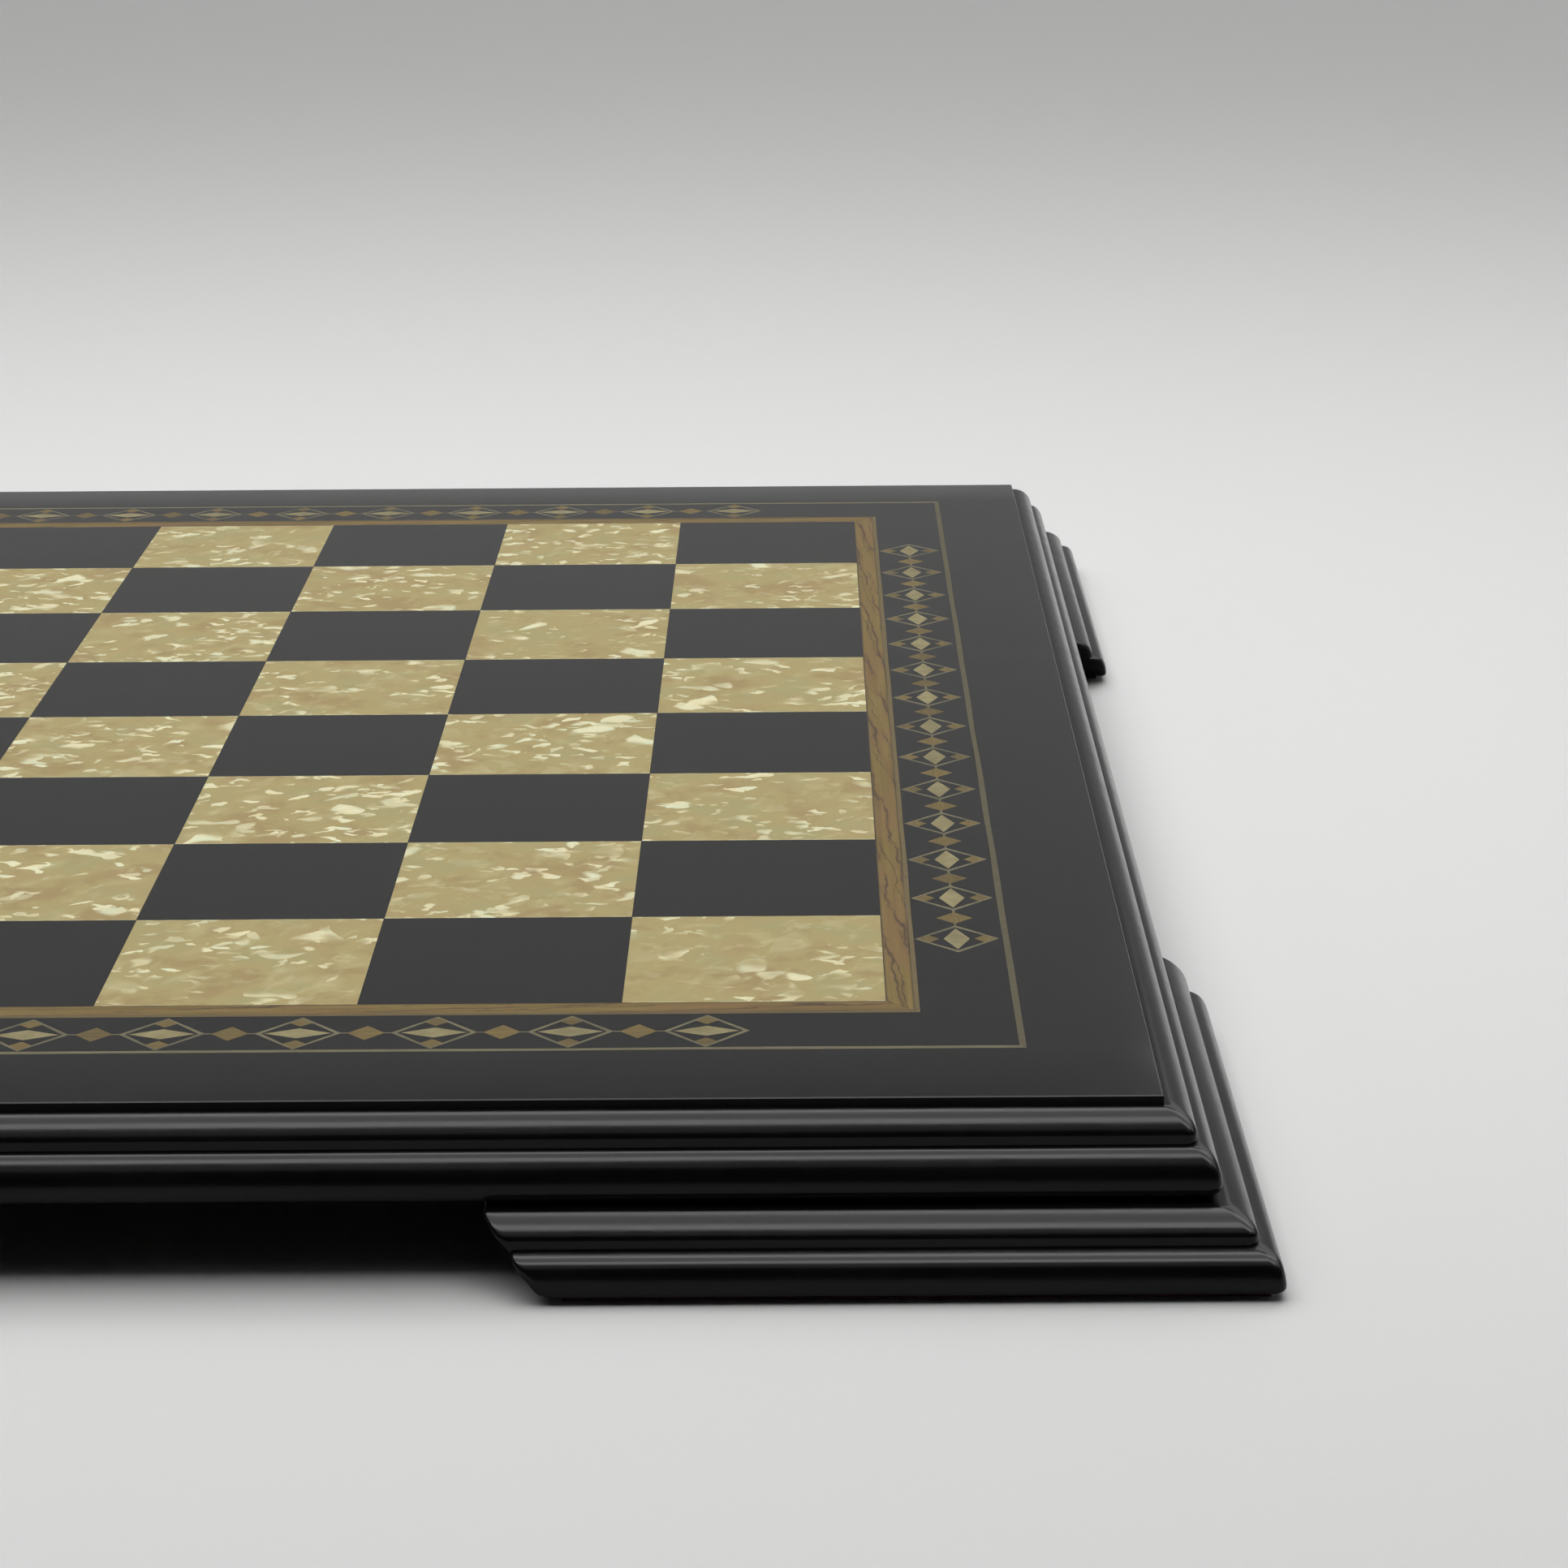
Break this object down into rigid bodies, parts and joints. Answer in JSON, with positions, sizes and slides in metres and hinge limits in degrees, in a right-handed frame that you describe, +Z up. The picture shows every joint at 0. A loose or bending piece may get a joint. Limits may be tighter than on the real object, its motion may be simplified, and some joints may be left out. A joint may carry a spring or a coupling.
{
  "type": "chess board",
  "caption": "Square inlaid chess board with pearl and black squares, a marquetry border, a two-bead black frame and mitred corner feet.",
  "frame": {"origin": "under the centre of the board, on the surface that it stands on", "axes": "+Z up, +Y away from the side taken as the front, +X to the right"},
  "size_m": [0.4294, 0.4294, 0.025],
  "materials": {
    "black_lacquer": "satin-gloss black lacquer over veneer",
    "moulding_lacquer": "gloss black lacquer on shaped wood",
    "pearl": "polished mother-of-pearl flakes in cream resin",
    "walnut": "lacquered mid-brown walnut, fine dark grain along the strip",
    "light_wood": "lacquered pale wood stringing",
    "marquetry": "lacquered band of pale outlines, brown and pearl diamonds on black",
    "core": "fibreboard, painted black underneath",
    "felt": "dark red felt"
  },
  "bodies": {
    "root": {"core_panel": "core", "ground_sheet": "black_lacquer", "pearl_square_b1": "pearl", "pearl_square_d1": "pearl", "pearl_square_f1": "pearl", "pearl_square_h1": "pearl", "pearl_square_a2": "pearl", "pearl_square_c2": "pearl", "pearl_square_e2": "pearl", "pearl_square_g2": "pearl", "pearl_square_b3": "pearl", "pearl_square_d3": "pearl", "pearl_square_f3": "pearl", "pearl_square_h3": "pearl", "pearl_square_a4": "pearl", "pearl_square_c4": "pearl", "pearl_square_e4": "pearl", "pearl_square_g4": "pearl", "pearl_square_b5": "pearl", "pearl_square_d5": "pearl", "pearl_square_f5": "pearl", "pearl_square_h5": "pearl", "pearl_square_a6": "pearl", "pearl_square_c6": "pearl", "pearl_square_e6": "pearl", "pearl_square_g6": "pearl", "pearl_square_b7": "pearl", "pearl_square_d7": "pearl", "pearl_square_f7": "pearl", "pearl_square_h7": "pearl", "pearl_square_a8": "pearl", "pearl_square_c8": "pearl", "pearl_square_e8": "pearl", "pearl_square_g8": "pearl", "light_line": "light_wood", "outer_stringing": "light_wood", "walnut_strip_front": "walnut", "walnut_strip_right": "walnut", "walnut_strip_back": "walnut", "walnut_strip_left": "walnut", "diamond_band_front": "marquetry", "diamond_band_right": "marquetry", "diamond_band_back": "marquetry", "diamond_band_left": "marquetry", "frame_rail_front": "moulding_lacquer", "frame_rail_right": "moulding_lacquer", "frame_rail_back": "moulding_lacquer", "frame_rail_left": "moulding_lacquer", "foot_front_right_front_arm": "moulding_lacquer", "foot_front_left_front_arm": "moulding_lacquer", "foot_back_right_right_arm": "moulding_lacquer", "foot_front_right_right_arm": "moulding_lacquer", "foot_back_left_back_arm": "moulding_lacquer", "foot_back_right_back_arm": "moulding_lacquer", "foot_front_left_left_arm": "moulding_lacquer", "foot_back_left_left_arm": "moulding_lacquer", "felt_front_right": "felt", "felt_back_right": "felt", "felt_back_left": "felt", "felt_front_left": "felt"}
  },
  "joints": []
}
